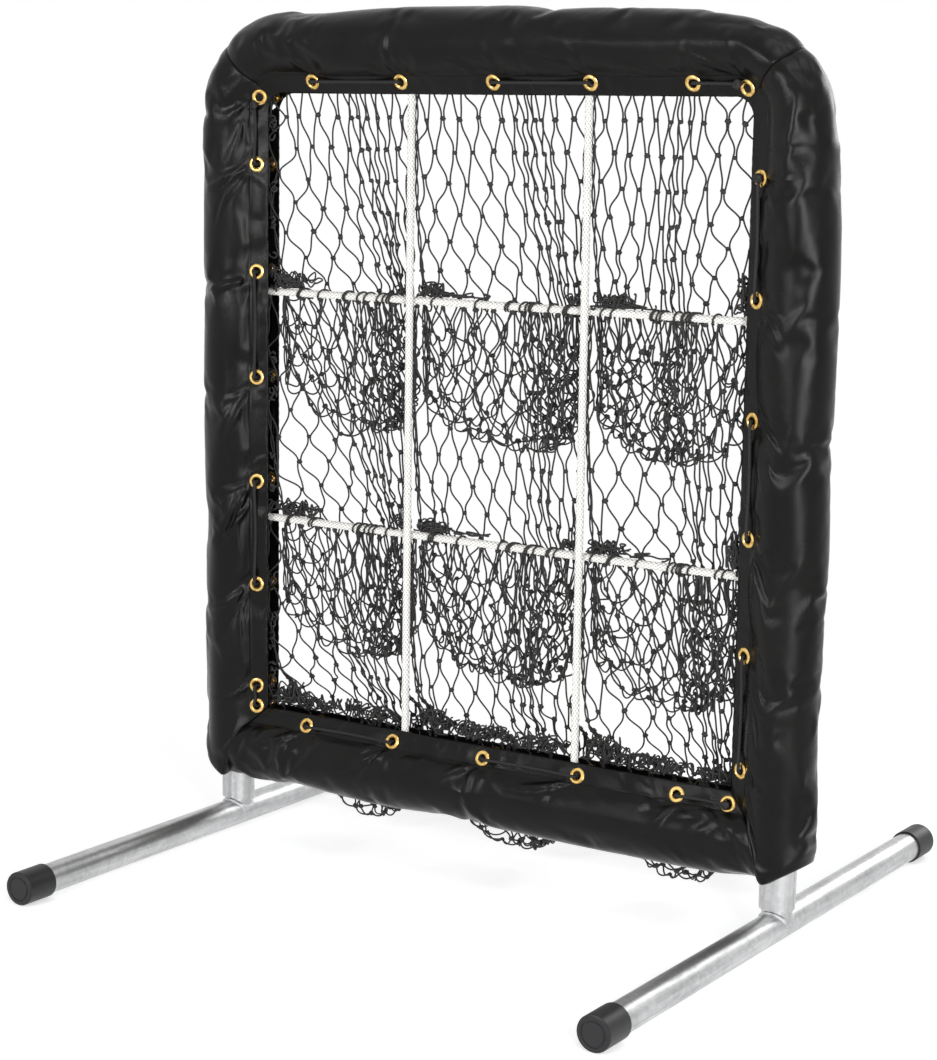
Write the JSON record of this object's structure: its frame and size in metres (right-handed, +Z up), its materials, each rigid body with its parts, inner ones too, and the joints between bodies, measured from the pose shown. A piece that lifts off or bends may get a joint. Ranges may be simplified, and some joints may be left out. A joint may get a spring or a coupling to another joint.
{
  "type": "pitching target net",
  "caption": "Free-standing padded pipe frame with a rope grid and black net pockets that catch thrown balls, on pull-off feet.",
  "frame": {"origin": "on the floor, under the middle of the frame", "axes": "+X to the right along the front, +Y from the front to the back, +Z up"},
  "size_m": [0.852, 0.81, 1.0325],
  "materials": {
    "pipe": "satin",
    "foam": "matte",
    "vinyl": "satin",
    "grommet": "satin",
    "lacing": "matte",
    "rope": "matte",
    "net": "matte",
    "cap": "satin"
  },
  "bodies": {
    "frame": {"frame_hoop": "pipe", "bottom_rail": "pipe", "rail_welds": "pipe", "left_foam": "foam", "right_foam": "foam", "top_foam": "foam", "bottom_foam": "foam", "left_cover": "vinyl", "right_cover": "vinyl", "top_cover": "vinyl", "bottom_cover": "vinyl", "left_grommets": "grommet", "right_grommets": "grommet", "top_grommets": "grommet", "bottom_grommets": "grommet", "left_lacing": "lacing", "right_lacing": "lacing", "top_lacing": "lacing", "bottom_lacing": "lacing", "left_upright_rope": "rope", "right_upright_rope": "rope", "upper_cross_rope": "rope", "lower_cross_rope": "rope", "pocket_top_left": "net", "pocket_top_middle": "net", "pocket_top_right": "net", "pocket_centre_left": "net", "pocket_centre_middle": "net", "pocket_centre_right": "net", "pocket_bottom_left": "net", "pocket_bottom_middle": "net", "pocket_bottom_right": "net"},
    "left_foot": {"left_foot_tube": "pipe", "left_stub": "pipe", "left_weld": "pipe", "left_front_cap": "cap", "left_rear_cap": "cap"},
    "right_foot": {"right_foot_tube": "pipe", "right_stub": "pipe", "right_weld": "pipe", "right_front_cap": "cap", "right_rear_cap": "cap"}
  },
  "joints": [
    {"name": "left_foot_slide", "type": "slide", "parent": "frame", "child": "left_foot", "axis": [0, 0, -1], "range_m": [0, 0.115]},
    {"name": "right_foot_slide", "type": "slide", "parent": "frame", "child": "right_foot", "axis": [0, 0, -1], "range_m": [0, 0.115]}
  ]
}
